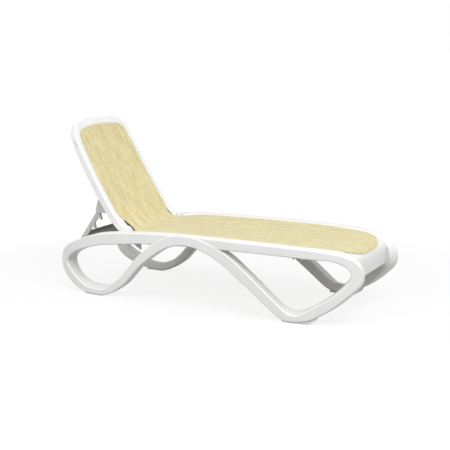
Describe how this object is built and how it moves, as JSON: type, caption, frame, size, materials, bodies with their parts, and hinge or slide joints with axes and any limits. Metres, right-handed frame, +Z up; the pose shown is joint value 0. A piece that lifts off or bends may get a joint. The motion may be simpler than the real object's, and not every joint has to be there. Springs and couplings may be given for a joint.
{
  "type": "sun lounger",
  "caption": "Low sun lounger: white moulded loop side frames, a pale yellow stretched sling seat with a rolled nose, and a reclining sling back on a toothed folding prop.",
  "frame": {"origin": "on the floor under the middle of the lounger's overall length and width", "axes": "+X along the lounger toward the feet, +Y to the sitter's left, +Z up"},
  "size_m": [1.8274, 0.715, 0.9637],
  "materials": {
    "white_resin": "white moulded resin, fine satin grain",
    "grey_resin": "light grey moulded resin",
    "dark_resin": "dark grey resin",
    "pad_rubber": "grey non-slip rubber",
    "sling_fabric": "pale straw yellow coated mesh weave",
    "border_resin": "pale welded edge strip",
    "pin_steel": "turned steel pin"
  },
  "bodies": {
    "base": {"side_frame_left": "white_resin", "side_frame_right": "white_resin", "seat_rail_left": "white_resin", "seat_rail_right": "white_resin", "nose_cowl": "white_resin", "crossbeam_hip": "white_resin", "crossbeam_middle": "white_resin", "crossbeam_front": "white_resin", "foot_pad_front_left": "pad_rubber", "foot_pad_front_right": "pad_rubber", "foot_pad_rear_left": "pad_rubber", "foot_pad_rear_right": "pad_rubber", "hinge_pin_left": "pin_steel", "hinge_pin_right": "pin_steel", "hip_gusset_left": "grey_resin", "hip_gusset_right": "grey_resin", "prop_peg_left": "grey_resin", "prop_peg_right": "grey_resin", "sling_seat": "sling_fabric", "seat_border": "border_resin", "sling_hip": "sling_fabric"},
    "backrest": {"backrest_frame": "white_resin", "back_crossbar_lower": "white_resin", "back_crossbar_middle": "white_resin", "prop_bracket_left": "grey_resin", "prop_bracket_right": "grey_resin", "sling_back": "sling_fabric", "back_border": "border_resin"},
    "prop": {"prop_arm_left": "grey_resin", "prop_arm_right": "grey_resin", "prop_tie": "dark_resin", "prop_pivot_pin_left": "pin_steel", "prop_pivot_pin_right": "pin_steel"}
  },
  "joints": [
    {"name": "backrest_recline", "type": "hinge", "parent": "base", "child": "backrest", "pos_m": [-0.46697, 0, 0.358], "axis": [0, -1, 0], "range_deg": [0, 57], "deforming": ["sling_hip"]},
    {"name": "prop_swing", "type": "hinge", "parent": "backrest", "child": "prop", "pos_m": [-0.68094, 0, 0.46205], "axis": [0, -1, 0], "range_deg": [-108, 0]}
  ],
  "couplings": [
    {"joint": "prop_swing", "follows": "backrest_recline", "ratio": -1.89}
  ]
}
